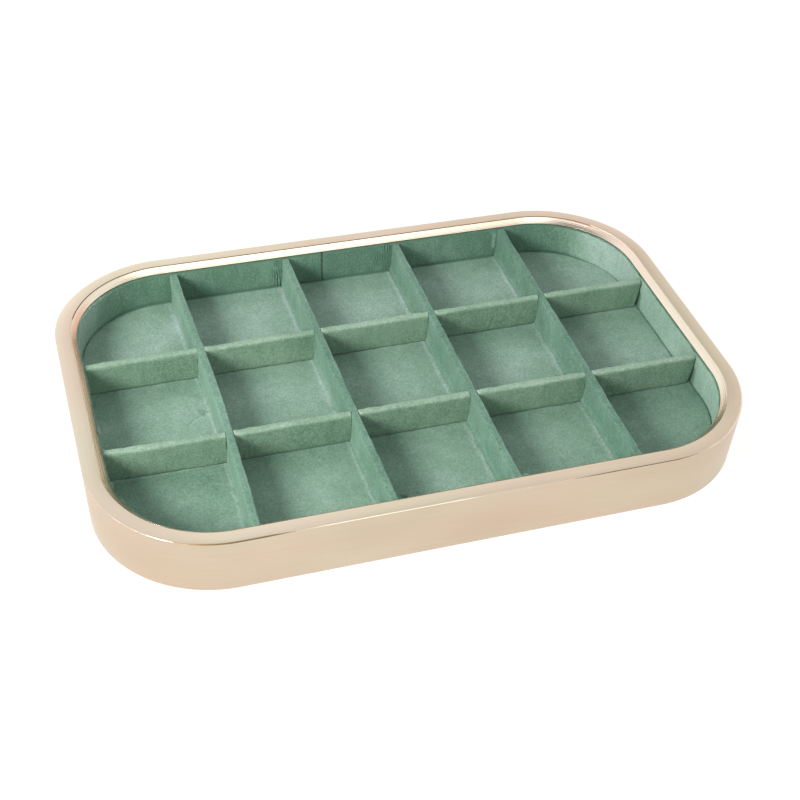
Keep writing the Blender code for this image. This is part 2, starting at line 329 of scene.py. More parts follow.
def place_object(name, mesh):
    """A new object with that mesh, its doubles merged, shaded smooth over its gentle edges."""
    shell = bmesh.new()
    shell.from_mesh(mesh)
    bmesh.ops.remove_doubles(shell, verts=shell.verts, dist=MERGE_DISTANCE)
    bmesh.ops.dissolve_degenerate(shell, edges=shell.edges, dist=MERGE_DISTANCE / 2)
    shell.to_mesh(mesh)
    shell.free()
    mesh.shade_smooth()
    mesh.set_sharp_from_angle(angle=SHARP_ANGLE)
    piece = bpy.data.objects.new(name, mesh)
    bpy.context.scene.collection.objects.link(piece)
    return piece


def thicken(piece, thickness):
    """Gives a surface its thickness on the side that it faces away from."""
    modifier = piece.modifiers.new("thickness", "SOLIDIFY")
    modifier.thickness = thickness
    modifier.offset = -1
    return piece


def hand_over(piece, body, slot, *nodes):
    """The piece rides on a body and stands for solids. slot is not used."""
    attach(piece, body)
    if nodes:
        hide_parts(*nodes)
    return piece


def fibres(name, points, share, count, reach, width, seed, rise=1.0):
    """Loose suede fibres on a grid of points. Each is a three-sided spike at a seeded place in a seeded face,
    drawn by the share at its corners. It points along the face's normal, times rise, plus a seeded lean, and
    its height lies between half the reach and the whole."""
    lean = 0.55
    source = np.random.default_rng(seed)
    weight = (share[:-1, :-1] + share[1:, :-1] + share[:-1, 1:] + share[1:, 1:]) / 4
    across = points[1:, :-1] - points[:-1, :-1]
    up = points[:-1, 1:] - points[:-1, :-1]
    normal = np.cross(across, up)
    area = np.linalg.norm(normal, axis=-1)
    weight = (weight * area).ravel()
    face = source.choice(weight.size, count, p=weight / weight.sum())
    normal = (normal / np.maximum(area, 1e-12)[..., None]).reshape(-1, 3)[face]
    place = source.uniform(0, 1, (count, 2, 1))
    root = points[:-1, :-1].reshape(-1, 3)[face]
    root = root + place[:, 0] * across.reshape(-1, 3)[face] + place[:, 1] * up.reshape(-1, 3)[face]
    heading = rise * normal + source.normal(0, lean, (count, 3))
    heading /= np.linalg.norm(heading, axis=1)[:, None]
    side = np.cross(heading, source.normal(size=(count, 3)))
    side /= np.linalg.norm(side, axis=1)[:, None]
    other = np.cross(heading, side)
    tall = reach * source.uniform(0.5, 1.0, (count, 1))
    spikes = np.empty((count, 4, 3))
    for corner, turn in enumerate((0, math.tau / 3, 2 * math.tau / 3)):
        spikes[:, corner] = root - heading * width + width * (side * math.cos(turn) + other * math.sin(turn))
    spikes[:, 3] = root + heading * tall
    sides = np.array([[0, 1, 3], [1, 2, 3], [2, 0, 3], [0, 2, 1]])
    faces = (np.arange(count)[:, None, None] * 4 + sides).reshape(-1, 3)
    mesh = bpy.data.meshes.new(name)
    mesh.from_pydata(spikes.reshape(-1, 3).tolist(), [], faces.tolist())
    piece = bpy.data.objects.new(name, mesh)
    bpy.context.scene.collection.objects.link(piece)
    return piece


def lay_pile(name, body, finish, points, share, count, *shape):
    """Loose fibres in the pile's suede that ride on a body. shape is what fibres takes after the count."""
    pile = fibres(name, points, share, round(count * finish.pile_share), *shape)
    give(pile, pile_suede(finish))
    hand_over(pile, body, SUEDE_SLOT)


def new_material(name):
    """A material, its tree and its shader."""
    material = bpy.data.materials.new(name)
    material.use_nodes = True
    return material, material.node_tree, material.node_tree.nodes["Principled BSDF"]


def put(tree, kind, settings=None, **inputs):
    """A node with its settings made and its inputs filled. An input is named by its socket's name, with an
    underscore for each space, or by its number after the word at, and a socket as its value is linked."""
    node = tree.nodes.new(kind)
    for key, value in (settings or {}).items():
        setattr(node, key, value)
    for key, value in inputs.items():
        socket = node.inputs[int(key[2:])] if key[:2] == "at" else node.inputs[key.replace("_", " ")]
        if isinstance(value, bpy.types.NodeSocket):
            tree.links.new(value, socket)
        else:
            socket.default_value = value
    return node


def math_node(tree, operation, first, second, clamp=False):
    """The result of one sum on two values or sockets."""
    settings = {"operation": operation, "use_clamp": clamp}
    return put(tree, "ShaderNodeMath", settings, at0=first, at1=second).outputs[0]


def blended(tree, first, second, share):
    """The first value times the share, plus the second one times the rest."""
    part = math_node(tree, "MULTIPLY", first, share)
    rest = math_node(tree, "MULTIPLY", second, 1 - share)
    return math_node(tree, "ADD", part, rest)


def noise(tree, vector, scale, detail, roughness=0.5, distortion=0.0):
    """The grey value of a noise pattern, about a half on average."""
    node = put(
        tree, "ShaderNodeTexNoise", None,
        Vector=vector, Scale=scale, Detail=detail, Roughness=roughness, Distortion=distortion,
    )
    return node.outputs["Fac"]


def mapped(tree, vector, scale):
    """A vector multiplied along each axis."""
    return put(tree, "ShaderNodeMapping", None, Vector=vector, Scale=scale).outputs[0]


def ramp(tree, value, stops):
    """A colour from a value, by stops of (place, colour)."""
    node = put(tree, "ShaderNodeValToRGB", None, Fac=value)
    elements = node.color_ramp.elements
    while len(elements) < len(stops):
        elements.new(0.5)
    for element, (place, tint) in zip(elements, stops):
        element.position = place
        element.color = (*tint, 1.0)
    return node.outputs["Color"]


def link(tree, value, shader, socket):
    """Feeds a value into the shader's input of that name."""
    tree.links.new(value, shader.inputs[socket])


def brushed_metal(name, finish, roughness, streak, shade=1.0, grain=(55.0, 5200.0, 1.0), depth=0.16):
    """Metal brushed along the frame. Hair lines run along the surface's first coordinate. They shift its
    shade and roughness and scratch it, over broad soft patches of handling and of a warmer or a cooler tint.
    streak is the lines' share of the shade's shift. shade darkens or pales the metal's colour, which paints
    shade or reflection on the frame's darker and paler copies, grain stretches the hair lines, depth is how
    strongly they bump the surface, and the surface's nap_and_painted_light value paints a warmer reflection
    tint on it."""
    material, tree, shader = new_material(name)
    surface = put(tree, "ShaderNodeUVMap", {"uv_map": "surface"}).outputs[0]
    hair = noise(tree, mapped(tree, surface, grain), 1.0, 3.0, 0.6)
    coarse = noise(tree, mapped(tree, surface, (22.0, 900.0, 1.0)), 1.0, 2.0, 0.6)
    broad = noise(tree, mapped(tree, surface, (14.0, 30.0, 1.0)), 1.0, 2.0)
    lines = blended(tree, hair, coarse, 0.5)
    base = np.array(finish.metal) * shade
    dark = tuple(base * np.array([0.93, 0.91, 0.88]))
    light = tuple(np.minimum(base * np.array([1.05, 1.06, 1.09]), 1))
    brushed = ramp(tree, blended(tree, lines, broad, streak), ((0.36, dark), (0.64, light)))
    tint = noise(tree, mapped(tree, surface, (11.0, 45.0, 1.0)), 1.0, 1.0)
    tint = ramp(tree, tint, ((0.35, (0.97, 1.0, 0.97)), (0.65, (1.0, 0.95, 0.95))))
    settings = {"data_type": "RGBA", "blend_type": "MULTIPLY"}
    mixed = put(tree, "ShaderNodeMix", settings, at0=1.0, at6=brushed, at7=tint)
    painted_warm_reflection = put(tree, "ShaderNodeAttribute", {"attribute_name": "nap_and_painted_light"}).outputs["Fac"]
    mixed = put(tree, "ShaderNodeMix", settings, at0=painted_warm_reflection, at6=mixed.outputs[2], at7=(0.95, 0.64, 0.50, 1.0))
    link(tree, mixed.outputs[2], shader, "Base Color")
    spread = put(
        tree, "ShaderNodeMapRange", None,
        Value=lines, From_Min=0.3, From_Max=0.7, To_Min=roughness - 0.06, To_Max=roughness + 0.08,
    )
    link(tree, spread.outputs[0], shader, "Roughness")
    scratch = put(tree, "ShaderNodeBump", None, Height=lines, Strength=depth, Distance=0.00006)
    link(tree, scratch.outputs[0], shader, "Normal")
    shader.inputs["Metallic"].default_value = 1.0
    shader.inputs["Anisotropic"].default_value = 0.45
    tangent = put(tree, "ShaderNodeTangent", {"direction_type": "UV_MAP", "uv_map": "surface"})
    link(tree, tangent.outputs[0], shader, "Tangent")
    return material


def suede_material(name, finish, grain, tint=(1.0, 1.0, 1.0)):
    """Suede: the shade goes from dark to light with broad patches of brushed pile, with small marks, with the
    pile's own grain, and with the surface's nap_and_painted_light value, which carries the lie of the pile
    and painted light and shade. The pile also roughens the surface and glows at its edges. grain stretches
    the marks along the three axes, and tint warms or cools the cut of suede."""
    material, tree, shader = new_material(name)
    place = put(tree, "ShaderNodeTexCoord").outputs["Object"]
    patches = noise(tree, place, 27.0, 2.0, 0.5, 0.5)
    marks = noise(tree, mapped(tree, place, grain), 1.0, 3.0, 0.6, 0.5)
    specks = noise(tree, place, 1000.0, 2.0, 0.6)
    # The nap_and_painted_light attribute adds painted light and shade to the suede's colour
    nap_and_painted_light = put(tree, "ShaderNodeAttribute", {"attribute_name": "nap_and_painted_light"}).outputs["Fac"]
    layers = ((patches, 0.45), (marks, 0.3), (specks, 0.65))
    total = 0.5 - sum(amount for _, amount in layers) / 2
    for layer, amount in (*layers, (nap_and_painted_light, 0.5)):
        total = math_node(tree, "ADD", math_node(tree, "MULTIPLY", layer, amount), total)
    stops = ((0.05, finish.suede_dark), (0.50, finish.suede_middle), (0.95, finish.suede_light))
    stops = [(at, tuple(np.array(shade) * tint)) for at, shade in stops]
    link(tree, ramp(tree, total, stops), shader, "Base Color")
    fur = noise(tree, place, 1500.0, 2.0, 0.65)
    height = blended(tree, fur, specks, 0.7)
    bump = put(tree, "ShaderNodeBump", None, Height=height, Strength=0.4, Distance=0.0003)
    link(tree, bump.outputs[0], shader, "Normal")
    shader.inputs["Roughness"].default_value = 0.95
    shader.inputs["Specular IOR Level"].default_value = 0.05
    shader.inputs["Sheen Weight"].default_value = 0.24
    shader.inputs["Sheen Roughness"].default_value = 0.5
    shader.inputs["Sheen Tint"].default_value = (0.76, 0.97, 0.84, 1.0)
    return material


def board_material(name, tint, scale, contrast):
    """Pressed board or card: small flecks of fibre, a faint cloud, and a matt, slightly rough surface."""
    material, tree, shader = new_material(name)
    place = put(tree, "ShaderNodeTexCoord").outputs["Object"]
    flecks = noise(tree, mapped(tree, place, (scale, scale * 0.4, scale)), 1.0, 5.0, 0.7, 0.6)
    cloud = noise(tree, place, 30.0, 2.0)
    shade = blended(tree, flecks, cloud, 0.75)
    base = np.array(tint)
    stops = ((0.35, tuple(base * (1 - contrast))), (0.65, tuple(np.minimum(base * (1 + contrast), 1))))
    link(tree, ramp(tree, shade, stops), shader, "Base Color")
    bump = put(tree, "ShaderNodeBump", None, Height=flecks, Strength=0.4, Distance=0.0001)
    link(tree, bump.outputs[0], shader, "Normal")
    shader.inputs["Roughness"].default_value = 0.9
    return material


def give(piece, *materials):
    """Replaces a piece's materials."""
    piece.data.materials.clear()
    for material in materials:
        piece.data.materials.append(material)
    return piece


def kept(name, make):
    """The material of that name, made once."""
    return bpy.data.materials.get(name) or make()


def suede_of(finish, name, grain, tint=(1.0, 1.0, 1.0)):
    """The cut of suede of that name, made once."""
    return kept(name, lambda: suede_material(name, finish, grain, tint))


def wall_suede(finish):
    """The wall lining's suede, with marks that run upwards."""
    return suede_of(finish, "suede_on_walls", UPRIGHT_GRAIN)


def column_suede(finish):
    """The columns' suede, like the walls' and a little cooler."""
    return suede_of(finish, "suede_on_columns", UPRIGHT_GRAIN, (0.96, 1.0, 1.01))


def row_suede(finish):
    """The rows' suede, like the walls' and warmer."""
    return suede_of(finish, "suede_on_rows", UPRIGHT_GRAIN, (1.04, 0.99, 0.94))


def floor_suede(finish):
    """The suede of the floor and of the sheet under the tray, with marks of about the same size all ways."""
    return suede_of(finish, "suede_on_floor", (180.0, 210.0, 200.0))


def pile_suede(finish):
    """The loose fibres' suede, paler because they catch the light."""
    return suede_of(finish, "suede_pile", (400.0, 400.0, 400.0), (1.25, 1.16, 1.20))


def card_finish(finish):
    """The grey card of the dividers, the wall and the floor, made once."""
    return kept("grey_card_board", lambda: board_material("grey_card_board", finish.card, 900.0, 0.16))


class TrayOperator(bpy.types.Operator):
    """Base of the operators that make the tray's pieces."""

    bl_options = {"REGISTER", "UNDO"}

    def execute(self, context):
        """Makes the pieces from the scene's sizes and finishes."""
        self.make(context.scene.tray_sizes, context.scene.tray_finish)
        return {"FINISHED"}


class TRAY_OT_metal_frame(TrayOperator):
    """Makes the brushed metal frame with its outer edge, flat rim, fine groove, cove and lip"""

    bl_idname = "tray.metal_frame"
    bl_label = "Metal Frame"

    def section(self, sizes, low, top, bevel):
        """The frame's closed section as (inset, level) points, with that outer bevel. The cove is a slope,
        hollowed by half a sine and by polishing lines: a sine that quickens and fades towards its foot. It
        slopes at about 45 degrees, so a hollow moves a point both ways by the slant times its depth."""
        lip = sizes.rim_width + sizes.cove_run
        cove_foot = top - sizes.cove_drop
        underside = cove_foot - sizes.lip_edge
        groove_depth = 2.6 * sizes.groove
        crisp, soft, foot_round = 0.03 * MM, 0.08 * MM, 0.2 * MM
        slant = 0.7
        cove = []
        for share in np.linspace(0, 1, 27)[1:-1]:
            hollow = sizes.cove_wave * math.sin(math.tau * (3.3 * share + 0.9 * share**2)) * (1 - share**3)
            hollow += sizes.cove_depth * math.sin(math.pi * share)
            across = sizes.rim_width + sizes.cove_run * share - hollow * slant
            cove.append((across, top - sizes.cove_drop * share - hollow * slant, 0))
        corners = [
            (sizes.wall_lean, low, foot_round),
            (0, top - bevel, soft),
            (bevel, top, soft),
            (sizes.rim_width - sizes.groove, top, crisp),
            (sizes.rim_width - sizes.groove / 2, top - groove_depth, 0),
            (sizes.rim_width, top - crisp, crisp),
            *cove,
            (lip, cove_foot, soft),
            (lip, underside, soft),
            (sizes.wall_thickness, underside, 0),
            (sizes.wall_lean + sizes.wall_thickness, low, foot_round),
        ]
        return fillet(corners, 4)

    def make(self, sizes, finish):
        low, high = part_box("metal_frame")
        top = high.z
        total = outside_length(sizes)
        count = round(total / sizes.step)
        place, outward = outside_line(np.arange(count) * total / count, sizes)
        to_right, to_back = outward.T
        at_front = place[:, 1] < -50 * MM
        bevels = (sizes.outer_edge, sizes.outer_bevel, sizes.back_bevel)
        narrow, cut, wide = (self.section(sizes, low.z, top, bevel) for bevel in bevels)
        worn = np.maximum(smooth_step(to_back, 0.1, 0.9), 0.5 * smooth_step(to_right, 0.3, 0.9))
        marked = self.marked(place[:, 0]) * at_front
        profile = narrow + worn[:, None, None] * (wide - narrow) + marked[:, None, None] * (cut - narrow)
        self.fill_groove(profile, narrow, outward, sizes)
        in_cove = narrow[:, 1] > top - 1.1 * sizes.cove_drop
        down_cove = np.clip((narrow[:, 0] - sizes.rim_width) / sizes.cove_run, 0, 1) * in_cove
        left = smooth_step(-to_right, 0.7, 0.95)[:, None]
        profile += (0.7 * sizes.cove_fill * left * np.sin(math.pi * down_cove))[..., None]
        # A warmer reflection tint painted on the left cove and on the cove near the front right corner,
        # stronger down the cove
        near_right = smooth_step(to_right, 0.3, 0.7) * smooth_step(-to_back, 0.2, 0.6)
        tinted = left + 0.7 * near_right[:, None]
        painted_warm_reflection = tinted * (down_cove > 0) * (0.35 + 0.65 * smooth_step(down_cove, 0.1, 0.8))
        around = run_along(np.concatenate([narrow, narrow[:1]]))
        along = np.arange(count + 1) * total / count
        uv = np.stack(np.meshgrid(along, around, indexing="ij"), -1)
        points = carried(profile, place, outward)
        piece = skin("brushed_frame", points, uv=uv, nap_and_painted_light=painted_warm_reflection, round_u=True, round_v=True)
        give(piece, *self.finishes(finish))
        self.paint(piece, sizes, top)
        hand_over(piece, TRAY, METAL_SLOT, "metal_frame")

    def fill_groove(self, profile, narrow, outward, sizes):
        """Raises the bottom of the groove: most of the way to the rim along the right and the left, though
        not round the front left corner, and a little along the back."""
        to_right, to_back = outward.T
        shallow = smooth_step(to_right, 0.55, 0.95)
        shallow += smooth_step(-to_right, 0.55, 0.95) * smooth_step(to_back, -0.35, 0)
        elsewhere = np.abs(narrow[:, 0] - sizes.rim_width) > sizes.groove
        bottom = np.argmin(np.where(elsewhere, np.inf, narrow[:, 1]))
        profile[:, bottom, 1] += sizes.groove * (2.0 * shallow + 0.6 * smooth_step(to_back, 0.5, 0.9))

    def finishes(self, finish):
        """The frame's materials, in the order of SATIN, BRIGHT, DIMMED, SHADED_EDGE and DARK: copies of one
        brushed metal, the last four paled or darkened to paint reflection and shade.
        """
        rough = finish.metal_roughness
        looks = {
            # bright_metal is smoother and paled to paint bright reflections and glints; dimmed_wall_metal
            # paints shade on the upright faces, shaded_edge_metal paints shade lines in the groove and along
            # the lip, and dark_reflection_metal paints dark reflection lines on the front edge
            "satin_metal": (rough, 0.55, (1.03, 1.05, 1.08)),
            "bright_metal": (0.26, 0.7, (1.05, 1.11, 1.17), (14.0, 1100.0, 1.0), 0.0),
            "dimmed_wall_metal": (rough, 0.55, 0.82),
            "shaded_edge_metal": (rough, 0.55, (0.38, 0.30, 0.24)),
            "dark_reflection_metal": (rough, 0.55, (0.22, 0.17, 0.13)),
        }
        return [kept(name, lambda: brushed_metal(name, finish, *look)) for name, look in looks.items()]

    def marked(self, x):
        """How far the outer edge is cut at each place along the front: by the mark's share in its middle, and
        less towards both its ends."""
        share = np.zeros_like(x)
        for start, end, _, most in EDGE_REFLECTIONS:
            taper = min(0.3 * (end - start), 12) * MM
            rise = smooth_step(x, start * MM, start * MM + taper)
            fall = smooth_step(x, end * MM - taper, end * MM)
            share = np.maximum(share, most * (rise * (1 - fall)))
        return share

    def paint(self, piece, sizes, top):
        """Gives each face one of the frame's materials by its normal and its place. Upright faces get DIMMED,
        the metal darkened to paint shade, or from the groove inwards SHADED_EDGE, darker still to paint shade
        lines.
        Leaning faces above the cove's foot get BRIGHT, paled to paint the cove's bright reflection, and the
        rest is satin. The outer edge along the front is satin too, apart from the painted glints and dark
        reflection lines of EDGE_REFLECTIONS, and so is the groove's side next to the rim. Towards the back,
        short of the right end, the whole groove gets SHADED_EDGE, a painted shade line."""
        steepest, flattest = 0.25, 0.97
        mesh = piece.data
        count = len(mesh.polygons)
        normals = np.empty(count * 3, np.float32)
        centres = np.empty(count * 3, np.float32)
        mesh.polygons.foreach_get("normal", normals)
        mesh.polygons.foreach_get("center", centres)
        tilt = normals.reshape(-1, 3)[:, 2]
        level = centres.reshape(-1, 3)[:, 2]
        bright = (level > top - sizes.cove_drop - 0.1 * MM) & (tilt > steepest) & (tilt < flattest)
        wall = np.abs(tilt) <= steepest
        low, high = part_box("metal_frame")
        half = np.array([high.x - low.x, high.y - low.y]) / 2
        inset = rim_distance(centres.reshape(-1, 3)[:, :2], half, sizes.corner_radius)
        index = np.full(count, SATIN, np.int32)
        index[bright] = BRIGHT
        index[wall] = DIMMED
        index[wall & (inset > sizes.rim_width - 2 * sizes.groove)] = SHADED_EDGE
        x, y = centres.reshape(-1, 3).T[:2] / MM
        outer_edge = bright & (inset < 0.5 * MM) & (y < -50)
        index[outer_edge] = SATIN
        for start, end, kind, _ in EDGE_REFLECTIONS:
            index[outer_edge & (x > start) & (x < end)] = kind
        from_rim = inset - sizes.rim_width
        in_groove = bright & (from_rim > -sizes.groove - 0.03 * MM)
        index[in_groove & (from_rim < 0)] = SATIN
        index[in_groove & (from_rim < 0.2 * MM) & (y > 60) & (x < 131)] = SHADED_EDGE
        mesh.polygons.foreach_set("material_index", index)
        mesh.update()


class TRAY_OT_wall_lining(TrayOperator):
    """Makes the suede round the inside wall, folded over its card, with a butt seam in the back wall"""

    bl_idname = "tray.wall_lining"
    bl_label = "Wall Lining"

    def make(self, sizes, finish):
        low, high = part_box("wall_lining")
        top, foot = high.z, low.z
        fold = 0.45 * MM
        place, outward = outside_line(self.stations(sizes), sizes)
        corners = [
            (sizes.fold_inset, top - sizes.fold_depth, 0),
            (sizes.fold_inset, top, fold),
            (sizes.lining_inset, top, 2 * fold),
            (sizes.lining_inset, foot, 0),
        ]
        profile = refine(fillet(corners, 5), 0.8 * MM)
        points = carried(profile, place, outward)
        level = points[..., 2]
        inner = smooth_step(profile[:, 0], sizes.lining_inset - 0.3 * MM, sizes.lining_inset)[None, :]
        seed = finish.seed
        wave = 0.10 * MM * ripple(points, 26 * MM, seed) + 0.05 * MM * ripple(points, 9 * MM, seed + 1)
        back = smooth_step(points[..., 1], 85 * MM, 88 * MM)
        creased = self.creased(points, seed)
        flap = self.flap(points) * back
        push = (np.clip(wave, -0.2 * MM, 0.2 * MM) + creased * back + 0.35 * MM * flap) * inner
        points[..., :2] -= push[..., None] * outward[:, None]
        edge = bell(level - top, 0.7 * MM)
        points[..., 2] += edge * 0.10 * MM * ripple(points, 6 * MM, seed + 4) - edge * 0.12 * MM
        # Painted shade in the creases: lighter where a crease stands out, darker where it is deep
        painted_crease_shade = (1.7 * creased / MM - 0.4 * (np.abs(creased) > 0.06 * MM)) * back
        # A painted shade line along the wall's foot, where the floor lining meets it, fainter along the left
        # and right walls
        painted_wall_foot_shade = bell(level - foot - sizes.floor_show, 0.45 * MM) * inner
        painted_wall_foot_shade = painted_wall_foot_shade * (0.6 - 0.45 * smooth_step(np.abs(outward[:, :1]), 0.5, 0.9))
        # Painted light of the wall, lighter on the flap, less the painted foot shade, plus the creases'
        # painted shade
        nap_and_painted_light = 1.1 * flap + self.lit(place, outward)[:, None] - painted_wall_foot_shade + painted_crease_shade
        ledge = smooth_step(level, top - 0.9 * MM, top - 0.3 * MM)
        self.shade_row_ends(nap_and_painted_light, points, inner, ledge)
        to_right, to_back = outward[:, :1], outward[:, 1:]
        # Painted highlight on the lining's top edge along the left, and a painted shadow line under the
        # frame's lip along the back and the right
        nap_and_painted_light += ledge * (0.6 * smooth_step(-to_right, 0.3, 0.8) - 0.7 * smooth_step(to_back, 0.3, 0.8))
        nap_and_painted_light -= ledge * 0.9 * smooth_step(to_right, 0.5, 0.9)
        piece = skin("wall_suede", points, nap_and_painted_light=nap_and_painted_light)
        thicken(piece, sizes.suede)
        give(piece, wall_suede(finish))
        hand_over(piece, TRAY, SUEDE_SLOT, "wall_lining")
        free = edge * smooth_step(profile[:, 0], sizes.lining_inset - 0.4 * MM, sizes.lining_inset)[None, :]
        tufted = sum(near_spot(points, spot, 1.6 * MM) for spot in EDGE_TUFTS)
        left = smooth_step(-to_right, 0.4, 0.9)
        for name, share, count, reach, width in (
            ("wall_pile", free + 0.02 * inner, 4200, 0.45, 0.03),
            ("wall_fringe", free * left, 4500, 1.0, 0.06),
            ("wall_tufts", free * tufted, 1300, 2.0, 0.05),
        ):
            lay_pile(name, TRAY, finish, points, share, count, reach * MM, width * MM, seed + 5, 0.8)

    def stations(self, sizes):
        """Distances along the frame's outside from one side of the seam to the other: about 1 mm apart, and
        closer where the lining is creased."""
        seam = sizes.seam_offset
        total = outside_length(sizes)
        margin = sizes.seam_width / 2
        run = np.linspace(seam + margin, seam + total - margin, round(total / MM))
        close = []
        for x, wide, _ in np.array(CREASES) * MM:
            reach = 2.5 * wide
            close.append(np.arange(total - x - reach, total - x + reach, 0.25 * MM) % total)
        close = np.concatenate(close)
        return np.unique(np.concatenate([run, np.where(close < seam, close + total, close)]))

    def creased(self, points, seed):
        """How far the creases push each point inwards: fine sines across the wall, their phase and height
        shifted by ripples, each crease under a bell."""
        x = points[..., 0]
        push = np.zeros_like(x)
        for centre, spread, depth in np.array(CREASES) * MM:
            fine = np.sin(x / (0.21 * MM) + 1.6 * ripple(points, 9 * MM, seed + 2))
            push += depth * bell(x - centre, spread) * fine * (0.6 + 0.4 * ripple(points, 5 * MM, seed + 3))
        return push

    def flap(self, points):
        """The small upright flap in the wall: a bell across x, between a lower and an upper level."""
        place, half_width = 82.4 * MM, 0.7 * MM
        x, level = points[..., 0], points[..., 2]
        over_foot = smooth_step(level, 12.0 * MM, 14.0 * MM)
        under_top = 1 - smooth_step(level, 21.5 * MM, 23.0 * MM)
        return bell(x - place, half_width) * over_foot * under_top

    def lit(self, place, outward):
        """How much light is painted on the wall: more on the right, most of all on the right towards the
        back, and painted shade, less than nought, along the back."""
        to_right, to_back = outward.T
        lit = 0.12 * smooth_step(to_right, 0.3, 0.75) - 0.76 * smooth_step(to_back, 0.6, 0.95)
        lit += 0.25 * smooth_step(to_right, 0.5, 0.9) * smooth_step(place[:, 1], 10 * MM, 60 * MM)
        return lit

    def shade_row_ends(self, nap_and_painted_light, points, inner, ledge):
        """Paints shadow on the wall low down behind each row's right end, and on the ledge a little further
        back.
        """
        level = points[..., 2]
        for number in (1, 2):
            line = Line(f"row_wrap_{number}", 0)
            beside = line.beside(points)
            past = line.along(points) > line.length
            behind = bell(beside, 2.3 * MM) * past * inner
            nap_and_painted_light -= 3.2 * behind * (1 - smooth_step(level, 15.0 * MM, 18.5 * MM))
            nap_and_painted_light -= 3.0 * bell(beside - 2.6 * MM, 1.1 * MM) * past * ledge


def covered_outline(half, radius, x_share, y_share):
    """A grid over a rounded rectangle: rows run across it at heights y, and each is as wide as the outline
    there: the full half length, less the radius, plus the circle's half chord."""
    y = half[1] * y_share
    over = np.clip(np.abs(y) - (half[1] - radius), 0, radius)
    wide = half[0] - radius + np.sqrt(radius**2 - over**2)
    grid = np.empty((len(x_share), len(y_share), 2))
    grid[..., 0] = x_share[:, None] * wide[None, :]
    grid[..., 1] = y[None, :]
    return grid


def even_shares(count, edge, tight):
    """Shares from minus one to one in even steps, with closer stations at both ends for a rounded edge, at
    squares of equal steps times the edge."""
    close = edge * np.linspace(0, 1, tight) ** 2
    middle = np.linspace(-1 + edge, 1 - edge, count)
    return np.concatenate([-1 + close[:-1], middle, 1 - close[-2::-1]])


def rim_distance(grid, half, radius):
    """Distance of each point from a rounded rectangle's edge, inwards: the radius less the distance from the
    nearest point of the inner rectangle that the corner circles have their centres on."""
    apart = np.abs(grid) - (half - radius)
    outside = np.linalg.norm(np.maximum(apart, 0), axis=-1)
    inside = np.minimum(np.max(apart, axis=-1), 0)
    return radius - outside - inside


def sheet_grid(inset, sizes, counts, edge):
    """Grid points over the tray's outline at an inset, and each point's distance from the edge. Rows are
    added at equal turns of the corners' circles, so that the corners come out round."""
    low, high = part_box("metal_frame")
    half = np.array([(high.x - low.x) / 2 - inset, (high.y - low.y) / 2 - inset])
    radius = sizes.corner_radius - inset
    edge_stations, corner_turns = 7, 15
    x_share = even_shares(counts[0], edge / half[0], edge_stations)
    y_share = even_shares(counts[1], edge / half[1], edge_stations)
    over = np.linspace(0, 1, corner_turns)[1:-1]
    bend = (half[1] - radius * (1 - np.sin(over * math.pi / 2))) / half[1]
    y_share = np.unique(np.round(np.concatenate([y_share, bend, -bend]), 6))
    grid = covered_outline(half, radius, x_share, y_share)
    return grid, rim_distance(grid, half, radius)


